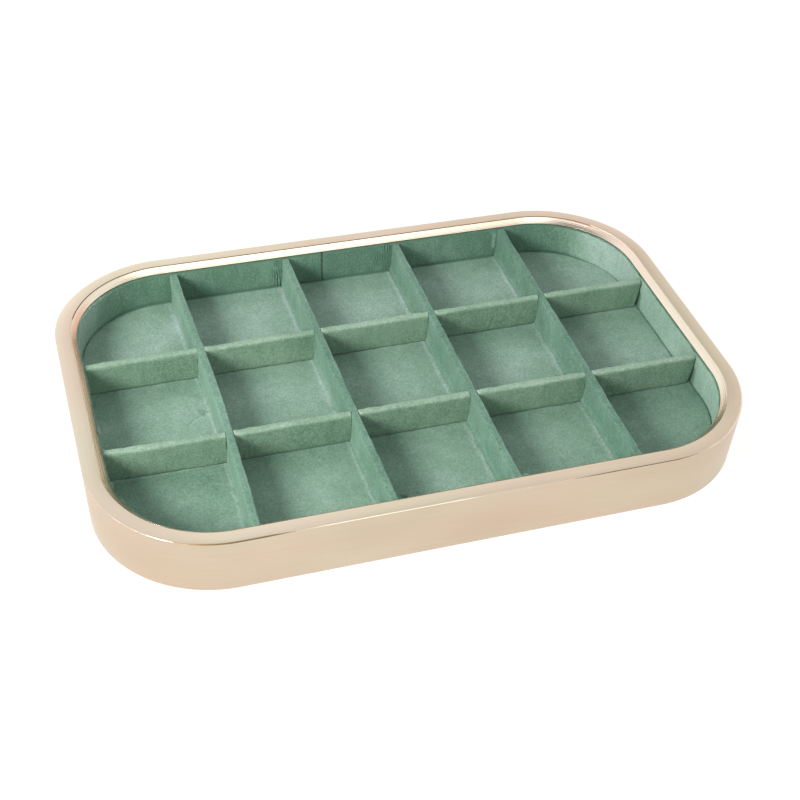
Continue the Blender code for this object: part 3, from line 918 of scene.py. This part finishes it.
class TRAY_OT_floor_lining(TrayOperator):
    """Makes the suede over the floor card, with its soft swell beside the dividers' feet"""

    bl_idname = "tray.floor_lining"
    bl_label = "Floor Lining"

    def make(self, sizes, finish):
        low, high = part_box("floor_lining")
        grid, inwards = sheet_grid(sizes.floor_inset, sizes, (232, 152), 1.4 * MM)
        points = np.concatenate([grid, np.full((*grid.shape[:2], 1), high.z)], -1)
        seed = finish.seed + 20
        drop = quarter_fall(inwards, 0.25 * MM)
        uneven = 0.05 * MM * ripple(points, 30 * MM, seed) + 0.03 * MM * ripple(points, 8 * MM, seed + 1)
        ragged = 0.2 * MM * ripple(points, 2.5 * MM, seed + 3)
        swell = np.zeros_like(drop)
        for number, flare_share in enumerate(FLARE_SHARES, 1):
            line = Line(f"column_wrap_{number}", 1)
            away = line.beside(grid) - line.bow_at(line.along(grid), sizes)
            left = away - sizes.divider_thickness / 2 - sizes.foot_flare * flare_share
            swell += bell(left - 0.9 * MM - ragged, 0.7 * MM)
        fold = self.fold_mark(grid)
        points[..., 2] += np.minimum(uneven - 0.1 * MM, 0) - drop + 0.10 * MM * swell + 0.12 * MM * fold
        skirt = np.pad(points, ((1, 1), (1, 1), (0, 0)), mode="edge")
        skirt[[0, -1], :, 2] = low.z
        skirt[:, [0, -1], 2] = low.z
        # The floor's painted light and shade, a painted highlight on the swells beside the columns' feet, and
        # the fold's painted shade and lit side
        nap_and_painted_light = self.brushed(grid) + 0.55 * swell + 0.45 * fold
        # A painted shade line along the floor's edge, where it meets the wall lining, fainter near the left
        # and right ends
        near_ends = smooth_step(np.abs(grid[..., 0] - 4 * MM), 114 * MM, 132 * MM)
        nap_and_painted_light -= bell(inwards, 0.8 * MM) * (2.2 - 1.8 * near_ends)
        nap_and_painted_light = np.pad(nap_and_painted_light, 1, mode="edge")
        piece = skin("floor_suede", skirt, nap_and_painted_light=nap_and_painted_light)
        thicken(piece, sizes.suede)
        give(piece, floor_suede(finish))
        hand_over(piece, TRAY, SUEDE_SLOT, "floor_lining")
        share = np.where(inwards > 1.5 * MM, 1.0, 0.0)
        for spot in FLOOR_TUFTS:
            share += 250 * near_spot(grid, spot, 1.0 * MM)
        shape = (1.1 * MM, 0.035 * MM, seed + 4, 0.25)
        lay_pile("floor_pile", TRAY, finish, points, share, 20000, *shape)

    def brushed(self, grid):
        """Painted light and shade on the floor, as its nap_and_painted_light value. It darkens evenly from
        the back to the front, where it lightens again, and at the left and the right end. The right
        compartments are lighter behind the front row, more so behind the rear one. Each compartment has
        painted shade over the last stretch before the row or the wall behind it."""
        back_wall, half_row, shaded = 91.8 * MM, 1.8 * MM, 24 * MM
        x, y = grid[..., 0], grid[..., 1]
        nap_and_painted_light = 2.3 * y + 0.05
        nap_and_painted_light -= 0.10 * smooth_step(-x, 80 * MM, 95 * MM)
        nap_and_painted_light -= 0.18 * smooth_step(x, 30 * MM, 110 * MM)
        nap_and_painted_light += 0.28 * smooth_step(-y, 60 * MM, 88 * MM)
        in_right = smooth_step(x, 82 * MM, 88 * MM) * (y > -32 * MM)
        nap_and_painted_light += (0.10 + 0.13 * smooth_step(y, 28 * MM, 36 * MM)) * in_right
        fronts = [-Line(f"row_wrap_{number}", 0).beside(grid) for number in (1, 2)]
        for ahead in (*fronts, back_wall - y):
            ahead = ahead - half_row
            nap_and_painted_light -= 0.32 * (ahead > 0) * (1 - smooth_step(ahead, 0, shaded))
        return nap_and_painted_light

    def fold_mark(self, grid):
        """A faint curved crease in the left middle compartment, with painted shade along it and a painted lit
        lower
        side: two bells across an arc that climbs from the compartment's middle to the first column's foot."""
        start = np.array([-99.5, -5.0]) * MM
        end = np.array([-88.4, 1.4]) * MM
        chord = end - start
        share = ((grid - start) @ chord) / (chord @ chord)
        across = ((grid - start) @ np.array([-chord[1], chord[0]])) / np.linalg.norm(chord)
        arc = 1.1 * MM * np.sin(math.pi * np.clip(share, 0, 1))
        ends = smooth_step(share, -0.08, 0.1) * (1 - smooth_step(share, 0.92, 1.05))
        return (0.6 * bell(across - arc + 0.9 * MM, 0.5 * MM) - bell(across - arc, 0.35 * MM)) * ends


class Line:
    """The line that a divider stands on: the middles of its solid's two end faces, axis 0 for a row and 1
    for a column."""

    def __init__(self, node, axis):
        self.name = node
        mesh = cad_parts[node].data
        co = np.empty(len(mesh.vertices) * 3, np.float32)
        mesh.vertices.foreach_get("co", co)
        co = co.reshape(-1, 3).astype(float)
        near = co[co[:, axis] < co[:, axis].min() + 0.5 * MM][:, :2]
        far = co[co[:, axis] > co[:, axis].max() - 0.5 * MM][:, :2]
        self.start = (near.min(0) + near.max(0)) / 2
        self.end = (far.min(0) + far.max(0)) / 2
        self.start[axis] = near[:, axis].min()
        self.end[axis] = far[:, axis].max()
        run = self.end - self.start
        self.length = float(np.linalg.norm(run))
        self.forward = run / self.length
        self.left = np.array([-self.forward[1], self.forward[0]])
        self.low = float(co[:, 2].min())
        self.top = float(co[:, 2].max())

    def along(self, points):
        """How far along the line each point is."""
        return (points[..., :2] - self.start) @ self.forward

    def beside(self, points):
        """How far to the left of the line each point is."""
        return (points[..., :2] - self.start) @ self.left

    def crossing(self, other):
        """How far along this line the other one crosses it."""
        matrix = np.array([self.forward, -other.forward]).T
        return float(np.linalg.solve(matrix, other.start - self.start)[0])

    def bow_at(self, run, sizes):
        """How far to the left the divider is bent at a distance along it. The first column bulges to the
        right before the rear row and swings to the left behind it, as a sine that grows along the line. The
        front row's left end bends back, with the square of the distance from the first column."""
        share = run / self.length
        if self.name == "column_wrap_1":
            swing_share = 0.71
            return -sizes.bow * np.sin(math.pi * share / swing_share) * (0.75 + 0.55 * share)
        if self.name == "row_wrap_1":
            bent_share = 0.18
            return sizes.row_bow * np.clip(1 - share / bent_share, 0, 1) ** 2
        return np.zeros_like(run)

    def crossing_of(self, other, sizes):
        """How far along this line the other divider crosses it when that one is bent."""
        plain = self.crossing(other)
        there = other.bow_at(np.array(other.crossing(self)), sizes)
        return plain + float(there) * float(other.left @ self.forward)


def divider_section(thickness, low, top, radius, slot):
    """The section of a covered divider from its foot up one side, over the round top and down the other, as
    (across, up) points. A station lies at the slot's level on both sides."""
    half = thickness / 2
    left = [(-half, low, 0), (-half, slot, 0), (-half, top, radius)]
    right = [(half, top, radius), (half, slot, 0), (half, low, 0)]
    return refine(fillet([*left, *right], 6), 0.9 * MM)


def divider_stations(length_along, cuts, half_slot, step):
    """Distances along a divider: even steps, closer stations at both ends for the rounding, and closer ones
    beside each slot, with the slot's own edges among them."""
    close = np.array([0.0, 0.08, 0.2, 0.4, 0.65, 1.0, 1.4]) * MM
    parts = [np.arange(2 * MM, length_along - 2 * MM, step), close, length_along - close]
    beside = np.array([0.0, 0.15, 0.35, 0.6, 0.9, 1.3, 1.8, 2.4]) * MM
    slots = []
    for cut in cuts:
        slots.append((cut - half_slot, cut + half_slot))
        parts += [cut - half_slot - beside, cut + half_slot + beside, [cut]]
    stations = np.sort(np.concatenate(parts))
    for low, high in slots:
        for edge in (low, high):
            crowded = (np.abs(stations - edge) < 0.1 * MM) & (np.abs(stations - edge) > TOLERANCE)
            stations = stations[~crowded]
    gap = np.concatenate([[True], np.diff(stations) > 0.02 * MM])
    return stations[gap], slots


def raw_edges(along, across, up, slots, open_side, from_top, seed):
    """How far the skin is pulled along at the raw edges of its slots, and how frayed it is there. Both fade
    over 2.4 mm, the fray with the cube of the nearness. A row's edges lean over its slot and a column's stand
    back from it, by a middle amount and a ripple."""
    faded = 2.4 * MM
    pulled = np.zeros_like(along)
    fray = np.zeros_like(along)
    for index, (low, high) in enumerate(slots):
        rough = ripple(np.stack([up + index * 0.05, across * 0.5, 0 * up], -1), 4.5 * MM, seed)
        for edge, way, middle, frayed in ((low, -1, -0.12, 0.4), (high, 1, -0.08, 1)):
            past_edge = way * (along - edge)
            near = np.clip(1 - np.abs(along - edge) / faded, 0, 1) * (past_edge >= -TOLERANCE)
            if from_top:
                ragged = MM * np.clip(middle + 0.08 * rough, -0.2, 0.3)
            else:
                ragged = MM * np.clip(0.05 + 0.05 * rough, 0, 0.15)
            pulled += way * near * ragged * open_side
            fray = np.maximum(fray, near**3 * open_side * frayed)
    return pulled, fray


def covered_divider(kind, number, line, cuts, sizes, finish):
    """The suede skin of one divider and its loose pile. Its grid is the section carried along the bent line.
    It swells a little by ripples, rounds off at both ends, and is cut away over each slot. A column flares at
    the foot of its left side, and a row's right end leans towards the wall. Its nap_and_painted_light value
    gives painted light that falls off towards the right, apart from a row's top, and a row's faces are darker
    than its top, partly by the lie of the pile and partly as painted shade. It is lighter where the skin
    frays, has a painted highlight where a column flares and along a column's left top edge, and a painted
    shade line at the very foot."""
    from_top = kind == "row"
    seed = finish.seed + 100 * number + (40 if from_top else 0)
    slot_level = (line.low + line.top) / 2 + (0 if from_top else sizes.slot_gap)
    top_round = sizes.row_round if from_top else sizes.column_round
    section = divider_section(sizes.divider_thickness, line.low, line.top, top_round, slot_level)
    half = sizes.divider_thickness / 2
    run, slots = divider_stations(line.length, cuts, half + sizes.slot_gap, 1.2 * MM)
    across = np.broadcast_to(section[:, 0], (len(run), len(section))).copy()
    up = np.broadcast_to(section[:, 1], across.shape).copy()
    along = np.broadcast_to(run[:, None], across.shape).copy()
    nose = sizes.end_round * (1 if from_top else 0.4)
    rounding = quarter_fall(np.minimum(run, line.length - run)[:, None], nose)
    across *= (half - rounding) / half
    up -= rounding * 0.8 * smooth_step(up, line.top - 3 * MM, line.top)

    spot = np.stack([along, across, up], -1) + np.array([0.0, 0.31 * number, 0.17 * from_top])
    swell = 0.09 * MM * ripple(spot, 22 * MM, seed) + 0.05 * MM * ripple(spot, 6 * MM, seed + 1)
    swell = np.clip(swell, -0.2 * MM, 0.18 * MM)
    across += np.sign(across) * swell * smooth_step(np.abs(across), half * 0.5, half * 0.9)
    at_top = smooth_step(up, line.top - 2.2 * MM, line.top - 0.1 * MM)
    up += at_top * np.clip(0.11 * MM * ripple(spot, 8 * MM, seed + 2) - 0.05 * MM, -0.35 * MM, 0.12 * MM)

    foot = np.zeros_like(along)
    lean = np.zeros_like(along)
    if from_top:
        near_wall = smooth_step(along, line.length - 9 * MM, line.length)
        high_up = smooth_step(up, line.low + 4 * MM, line.top - 2 * MM)
        low_down = 1 - smooth_step(up, line.low, line.low + 7 * MM)
        lean = near_wall * (sizes.row_reach * high_up - 1.1 * MM * low_down)
    else:
        up += 0.3 * MM * at_top * smooth_step(along, line.length - 14 * MM, line.length - 3 * MM)
        foot = bell(up - line.low, 2.6 * MM) * (across > 0) * (1 - rounding / nose)
        uneven = 0.8 + 0.2 * ripple(spot, 15 * MM, seed + 6)
        across += sizes.foot_flare * FLARE_SHARES[number - 1] * foot * uneven
    up -= bell(up - line.low, 0.3 * MM) * MM * np.clip(0.24 + 0.1 * ripple(spot, 5 * MM, seed + 7), 0.08, 0.3)

    level = section[:, 1]
    open_side = (level >= slot_level - TOLERANCE) if from_top else (level <= slot_level + TOLERANCE)
    pulled, fray = raw_edges(along, across, up, slots, open_side, from_top, seed + 3)
    along = along + lean + pulled
    bent = across + line.bow_at(along, sizes)
    flat = line.start + along[..., None] * line.forward + bent[..., None] * line.left
    points = np.concatenate([flat, up[..., None]], -1)
    points = np.concatenate([collapsed(points[:1]), points, collapsed(points[-1:])])
    ends = np.concatenate([run[:1], run, run[-1:]])
    middle = (ends[1:] + ends[:-1]) / 2
    keep = np.ones((points.shape[0] - 1, points.shape[1] - 1), bool)
    cut_side = open_side[:-1] & open_side[1:]
    for low, high in slots:
        keep &= ~((middle > low) & (middle < high))[:, None] | ~cut_side[None, :]

    # A painted shade line at the very foot, and a painted highlight along a column's left top edge
    painted_foot_shade = bell(up - line.low, 0.6 * MM)
    painted_highlight = at_top * bell(across + 0.85 * half, 0.35 * MM)
    parts = (at_top, fray, foot, painted_foot_shade, painted_highlight)
    crown, fray, foot, painted_foot_shade, painted_highlight = (np.pad(part, ((1, 1), (0, 0)), mode="edge") for part in parts)
    # Painted light that falls off towards the right; a row's faces are darker than its top, partly by the lie
    # of the pile and partly as painted shade
    nap_and_painted_light = (-0.56 - 0.9 * points[..., 0]) * (1 - crown) if from_top else -0.64 - 1.5 * points[..., 0]
    if not from_top:
        nap_and_painted_light = nap_and_painted_light + 0.5 * painted_highlight
    # Lighter where the skin frays, a painted highlight on a column's flare, and the painted foot shade
    nap_and_painted_light = nap_and_painted_light + 0.6 * fray + 0.25 * foot - 0.35 * painted_foot_shade
    piece = skin(f"{kind}_suede_{number}", points, nap_and_painted_light=nap_and_painted_light, keep=keep)
    thicken(piece, sizes.suede)
    give(piece, row_suede(finish) if from_top else column_suede(finish))
    body = ROWS if from_top else f"{COLUMN}{number}"
    share = (0.9 * crown + 1.6 * fray + 0.015) * np.pad(~slotted(run, slots), 1, mode="edge")[:, None]
    count = 6000 if from_top else 3400
    lay_pile(f"{kind}_pile_{number}", body, finish, points, share, count, 0.5 * MM, 0.03 * MM, seed + 5)
    hand_over(piece, body, SUEDE_SLOT, f"{kind}_wrap_{number}")


def bent_card(core, number, line, shift, body, finish):
    """A divider's card, bent like its skin: its solid's mesh, cut into 4 mm steps along the line, with each
    point moved sideways and along by the shift at its place."""
    node = f"{core}{number}"
    slice_length = 4 * MM
    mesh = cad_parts[node].data.copy()
    shell = bmesh.new()
    shell.from_mesh(mesh)
    bmesh.ops.remove_doubles(shell, verts=shell.verts, dist=MERGE_DISTANCE / 2)
    for run in np.arange(slice_length, line.length, slice_length):
        everything = shell.verts[:] + shell.edges[:] + shell.faces[:]
        place = line.start + run * line.forward
        bmesh.ops.bisect_plane(shell, geom=everything, plane_co=(*place, 0), plane_no=(*line.forward, 0))
    co = np.array([vertex.co for vertex in shell.verts])
    co[:, :2] += shift(co)
    for vertex, place in zip(shell.verts, co):
        vertex.co = place
    shell.to_mesh(mesh)
    shell.free()
    piece = bpy.data.objects.new(f"{core.replace('core', 'card')}{number}", mesh)
    bpy.context.scene.collection.objects.link(piece)
    give(piece, card_finish(finish))
    hand_over(piece, body, CARD_SLOT, node)


def slotted(run, slots):
    """Which stations lie inside a slot."""
    inside = np.zeros(len(run), bool)
    for low, high in slots:
        inside |= (run > low - TOLERANCE) & (run < high + TOLERANCE)
    return inside


def collapsed(points):
    """The end of a divider drawn together onto its middle: each point and its mirror image at the same
    place, which closes the end."""
    mirrored = points[:, ::-1]
    return (points + mirrored) / 2


class TRAY_OT_row_dividers(TrayOperator):
    """Makes the two suede-covered rows, slotted from the top"""

    bl_idname = "tray.row_dividers"
    bl_label = "Row Dividers"

    def make(self, sizes, finish):
        columns = [Line(f"column_wrap_{number}", 1) for number in range(1, 5)]
        for number in (1, 2):
            line = Line(f"row_wrap_{number}", 0)
            cuts = [line.crossing_of(column, sizes) for column in columns]
            covered_divider("row", number, line, cuts, sizes, finish)
            slot = line.crossing(columns[0])
            shift = cuts[0] - slot

            def bent(co):
                """The row's bow, and a slide that keeps the first slot under the bent column."""
                run = line.along(co)
                slide = shift * (1 - smooth_step(np.abs(run - slot), 3 * MM, 9 * MM))
                return slide[:, None] * line.forward + line.bow_at(run, sizes)[:, None] * line.left

            bent_card("row_core_", number, line, bent, ROWS, finish)


class TRAY_OT_column_dividers(TrayOperator):
    """Makes the four suede-covered columns, slotted from below, the first one slightly bent"""

    bl_idname = "tray.column_dividers"
    bl_label = "Column Dividers"

    def make(self, sizes, finish):
        rows = [Line(f"row_wrap_{number}", 0) for number in (1, 2)]
        for number in range(1, 5):
            line = Line(f"column_wrap_{number}", 1)
            cuts = [line.crossing(row) for row in rows]
            covered_divider("column", number, line, cuts, sizes, finish)
            if number == 1:
                bent = lambda co: line.bow_at(line.along(co), sizes)[:, None] * line.left
                bent_card("column_core_", number, line, bent, f"{COLUMN}1", finish)


class TRAY_OT_boards(TrayOperator):
    """Gives the card and fibreboard inside the tray their finish"""

    bl_idname = "tray.boards"
    bl_label = "Card and Boards"

    def make(self, sizes, finish):
        card = card_finish(finish)
        board = kept("pressed_board", lambda: board_material("pressed_board", finish.board, 700.0, 0.28))
        for node in CARD_NODES:
            give(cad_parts[node], card)
        for node in BOARD_NODES:
            give(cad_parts[node], board)


class TRAY_OT_backing_sheet(TrayOperator):
    """Makes the suede sheet under the tray"""

    bl_idname = "tray.backing_sheet"
    bl_label = "Backing Sheet"

    def make(self, sizes, finish):
        low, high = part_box("backing_sheet")
        grid, inwards = sheet_grid(sizes.backing_inset, sizes, (120, 80), 0.5 * MM)
        points = np.concatenate([grid, np.full((*grid.shape[:2], 1), low.z)], -1)
        lift = quarter_fall(inwards, 0.3 * MM)
        uneven = 0.03 * MM * ripple(points, 18 * MM, finish.seed + 60)
        points[..., 2] += lift + np.maximum(uneven, 0)
        piece = skin("backing_suede", points[::-1], nap_and_painted_light=np.zeros(grid.shape[:2]))
        thicken(piece, high.z - low.z - 0.1 * MM)
        give(piece, floor_suede(finish))
        hand_over(piece, TRAY, SUEDE_SLOT, "backing_sheet")


class TRAY_OT_stage(TrayOperator):
    """Makes the pale floor, the soft studio lights and the camera"""

    bl_idname = "tray.stage"
    bl_label = "Stage"

    def make(self, sizes, finish):
        self.floor(finish)
        self.world()
        self.softbox("key_light", (-0.66, -0.38, 0.46), 0.32, 9.8, (1.0, 0.985, 0.96))
        self.softbox("back_light", (-0.45, 1.0, 0.95), 1.8, 2.7, (0.96, 1.0, 1.05))
        self.softbox("front_light", (0.25, -0.95, 1.25), 0.8, 3.0, (1.0, 1.0, 1.0))
        self.camera()

    def floor(self, finish):
        """A wide disc a little below the tray, which glows so that it is nearly white."""
        mesh = bpy.data.meshes.new("pale_floor")
        shell = bmesh.new()
        below = Matrix.Translation((0, 0, -0.1 * MM))
        bmesh.ops.create_circle(shell, cap_ends=True, radius=6.0, segments=96, matrix=below)
        shell.to_mesh(mesh)
        shell.free()
        floor = bpy.data.objects.new("pale_floor", mesh)
        bpy.context.scene.collection.objects.link(floor)
        material, tree, shader = new_material("pale_floor")
        shader.inputs["Base Color"].default_value = (*finish.floor, 1.0)
        shader.inputs["Roughness"].default_value = 0.9
        shader.inputs["Emission Color"].default_value = (1.0, 1.0, 1.0, 1.0)
        shader.inputs["Emission Strength"].default_value = 0.90
        give(floor, material)

    def world(self):
        """The surroundings: their tint goes in bands from left to right, and they darken overhead."""
        world = bpy.data.worlds.new("studio")
        bpy.context.scene.world = world
        world.use_nodes = True
        tree = world.node_tree
        heading = put(tree, "ShaderNodeTexCoord").outputs["Generated"]
        axes = put(tree, "ShaderNodeSeparateXYZ", None, Vector=heading).outputs
        share = put(
            tree, "ShaderNodeMapRange", {"interpolation_type": "SMOOTHSTEP"},
            Value=axes["Z"], From_Min=0.67, From_Max=0.92, To_Min=0.88, To_Max=0.10,
        )
        across = math_node(tree, "ADD", math_node(tree, "MULTIPLY", axes["X"], 0.5), 0.5)
        stops = (
            (0.30, (0.90, 0.88, 0.92)),
            (0.48, (1.32, 1.43, 1.53)),
            (0.59, (0.68, 0.68, 0.66)),
            (0.67, (0.90, 0.89, 0.85)),
            (0.74, (1.32, 1.30, 1.30)),
            (0.92, (1.18, 1.21, 1.27)),
        )
        background = tree.nodes["Background"].inputs
        tree.links.new(share.outputs[0], background["Strength"])
        tree.links.new(ramp(tree, across, stops), background["Color"])
        view = bpy.context.scene.view_settings
        view.view_transform = "Standard"
        view.look = "None"

    def softbox(self, name, place, size, power, tint):
        """A round lamp that faces the tray, with its place and width in metres and its power in watts."""
        data = bpy.data.lights.new(name, "AREA")
        data.shape = "DISK"
        data.size = size
        data.energy = power
        data.color = tint
        lamp = bpy.data.objects.new(name, data)
        lamp.location = place
        lamp.rotation_euler = (-Vector(place)).to_track_quat("-Z", "Y").to_euler()
        bpy.context.scene.collection.objects.link(lamp)

    def camera(self):
        """Stands where the photograph was taken from: yaw right of straight ahead, pitch down, roll."""
        yaw, pitch, roll = 0.335558916, 0.709350852, 0.057986459
        place = Vector((-0.167286, -0.490342, 0.443779))
        focal_pixels, frame_pixels = 1429.03, 800
        forward = Vector((math.sin(yaw) * math.cos(pitch), math.cos(yaw) * math.cos(pitch), -math.sin(pitch)))
        level = Vector((math.cos(yaw), -math.sin(yaw), 0))
        upright = level.cross(forward)
        right = level * math.cos(roll) + upright * math.sin(roll)
        up = upright * math.cos(roll) - level * math.sin(roll)
        data = bpy.data.cameras.new("camera")
        data.sensor_width = 36
        data.lens = data.sensor_width * focal_pixels / frame_pixels
        data.clip_start = 0.05
        data.clip_end = 30
        camera = bpy.data.objects.new("camera", data)
        turn = Matrix((right, up, -forward)).transposed()
        camera.matrix_world = Matrix.Translation(place) @ turn.to_4x4()
        bpy.context.scene.collection.objects.link(camera)
        bpy.context.scene.camera = camera


OPERATORS = (
    TRAY_OT_metal_frame,
    TRAY_OT_wall_lining,
    TRAY_OT_floor_lining,
    TRAY_OT_row_dividers,
    TRAY_OT_column_dividers,
    TRAY_OT_boards,
    TRAY_OT_backing_sheet,
    TRAY_OT_stage,
)


class TRAY_PT_panel(bpy.types.Panel):
    """Lists the tray's operators, sizes and finishes"""

    bl_idname = "TRAY_PT_panel"
    bl_label = "Jewelry Display Tray"
    bl_space_type = "VIEW_3D"
    bl_region_type = "UI"
    bl_category = "Tray"

    def draw(self, context):
        """One button for each operator, then every size and finish."""
        for operator in OPERATORS:
            self.layout.operator(operator.bl_idname)
        for group in (context.scene.tray_sizes, context.scene.tray_finish):
            column = self.layout.column()
            for name in group.bl_rna.properties.keys():
                if name not in ("rna_type", "name"):
                    column.prop(group, name)


CLASSES = (TraySizes, TrayFinish, *OPERATORS, TRAY_PT_panel)


def register():
    """Makes the classes known, and gives the scene its sizes and finishes."""
    for group in CLASSES:
        bpy.utils.register_class(group)
    bpy.types.Scene.tray_sizes = PointerProperty(type=TraySizes)
    bpy.types.Scene.tray_finish = PointerProperty(type=TrayFinish)


def unregister():
    """Takes back what register did, in the opposite order."""
    del bpy.types.Scene.tray_finish
    del bpy.types.Scene.tray_sizes
    for group in reversed(CLASSES):
        bpy.utils.unregister_class(group)


def main():
    """Makes every piece and the stage."""
    register()
    for operator in OPERATORS:
        group, name = operator.bl_idname.split(".")
        getattr(getattr(bpy.ops, group), name)()
    bpy.context.view_layer.update()


if __name__ == "__main__":
    main()
